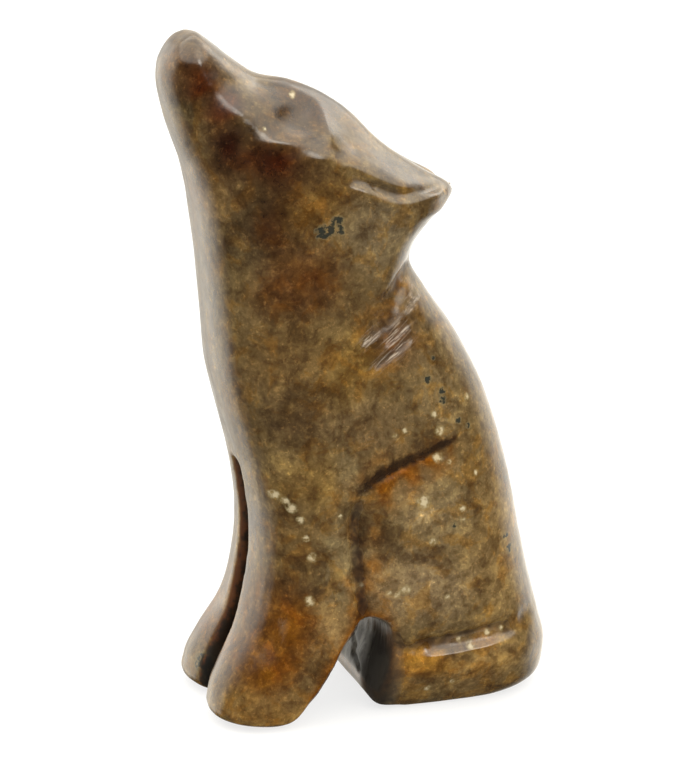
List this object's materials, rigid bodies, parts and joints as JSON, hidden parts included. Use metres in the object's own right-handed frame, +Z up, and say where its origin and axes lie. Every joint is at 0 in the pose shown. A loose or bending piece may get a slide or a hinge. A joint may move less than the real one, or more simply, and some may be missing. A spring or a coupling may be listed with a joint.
{
  "type": "carved stone wolf figure",
  "caption": "Small seated howling wolf carved from one piece of polished brown soapstone, with filed lines for ear, haunch and hind foot.",
  "frame": {"origin": "middle of the footprint, on the surface the figure stands on", "axes": "-X is the way the wolf faces, +Y is its right side and -Y its left, +Z is up"},
  "size_m": [0.053, 0.0284, 0.0919],
  "materials": {
    "polished_stone": "waxed polish, mottled brown"
  },
  "bodies": {
    "root": {"carved_wolf": "polished_stone"}
  },
  "joints": []
}
